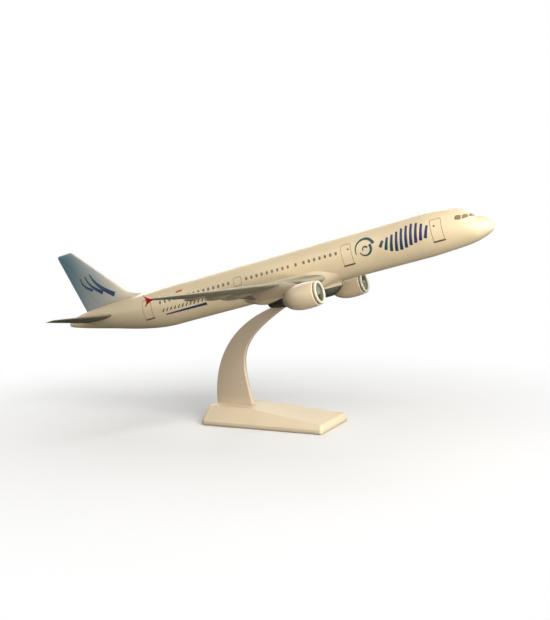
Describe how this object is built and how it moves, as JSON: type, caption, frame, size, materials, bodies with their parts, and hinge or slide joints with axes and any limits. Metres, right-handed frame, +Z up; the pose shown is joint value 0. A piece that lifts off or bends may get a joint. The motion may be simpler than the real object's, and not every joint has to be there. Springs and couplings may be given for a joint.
{
  "type": "model airplane on stand",
  "caption": "Desk model of a long twin-jet airliner, nose up on a curved plate arm that plugs into a low wedge base; the model lifts off the arm.",
  "frame": {"origin": "centre of the underside of the stand's base", "axes": "+X towards the aircraft's nose, along the base; +Y to port, across the base; +Z up"},
  "size_m": [0.2991, 0.2274, 0.1328],
  "materials": {
    "hull_cream": "satin lacquered plastic",
    "wing_grey": "satin painted plastic",
    "fence_red": "satin painted plastic",
    "track_beige": "satin painted plastic",
    "cowl_cream": "satin lacquered plastic",
    "ring_pale": "satin painted plastic",
    "fan_grey": "matt moulded plastic",
    "fin_blue": "satin painted plastic, teal blended to pale grey",
    "pin_plastic": "moulded plastic",
    "arm_white": "satin moulded plastic",
    "base_ivory": "satin moulded plastic",
    "plate_grey": "matt plastic"
  },
  "bodies": {
    "base": {"stand_base": "base_ivory", "base_bottom_plate": "plate_grey"},
    "arm": {"stand_arm": "arm_white"},
    "aircraft": {"fuselage_left_half": "hull_cream", "fuselage_right_half": "hull_cream", "locating_pins": "pin_plastic", "belly_fairing": "hull_cream", "wing_center_section": "wing_grey", "wing_left": "wing_grey", "wing_right": "wing_grey", "wingtip_fence_left": "fence_red", "wingtip_fence_right": "fence_red", "flap_track_fairings_left": "track_beige", "flap_track_fairings_right": "track_beige", "pylon_left": "cowl_cream", "pylon_right": "cowl_cream", "engine_cowl_left": "cowl_cream", "engine_cowl_right": "cowl_cream", "intake_ring_left": "ring_pale", "intake_ring_right": "ring_pale", "fan_left": "fan_grey", "fan_right": "fan_grey", "fin": "fin_blue", "tailplane_left": "wing_grey", "tailplane_right": "wing_grey"}
  },
  "joints": [
    {"name": "arm_lift", "type": "slide", "parent": "base", "child": "arm", "axis": [0, 0, 1], "range_m": [0, 0.03]},
    {"name": "aircraft_lift", "type": "slide", "parent": "arm", "child": "aircraft", "axis": [-0.2554, 0, 0.9668], "range_m": [0, 0.03]}
  ]
}
